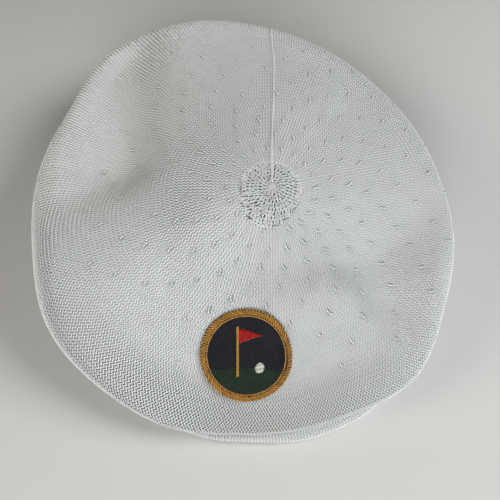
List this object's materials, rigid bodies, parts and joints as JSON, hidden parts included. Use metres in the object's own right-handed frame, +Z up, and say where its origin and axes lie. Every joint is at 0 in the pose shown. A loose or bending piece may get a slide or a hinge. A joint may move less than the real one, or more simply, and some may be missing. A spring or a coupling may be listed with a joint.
{
  "type": "knitted golf cap",
  "caption": "Soft white knitted golf cap: a wide round crown drawn down over a short covered peak, on a plain band, with a small round embroidered badge.",
  "frame": {"origin": "on the table, under the middle of the cap's bounding box", "axes": "+Z up, +Y to the back of the cap, +X to the wearer's left; the peak points along -Y"},
  "size_m": [0.2676, 0.2912, 0.081],
  "materials": {
    "white_knit": "matt knitted yarn",
    "embroidery": "satin stitched thread"
  },
  "bodies": {
    "root": {"crown": "white_knit", "peak": "white_knit", "head_band": "white_knit", "crown_seam": "white_knit", "badge": "embroidery"}
  },
  "joints": []
}
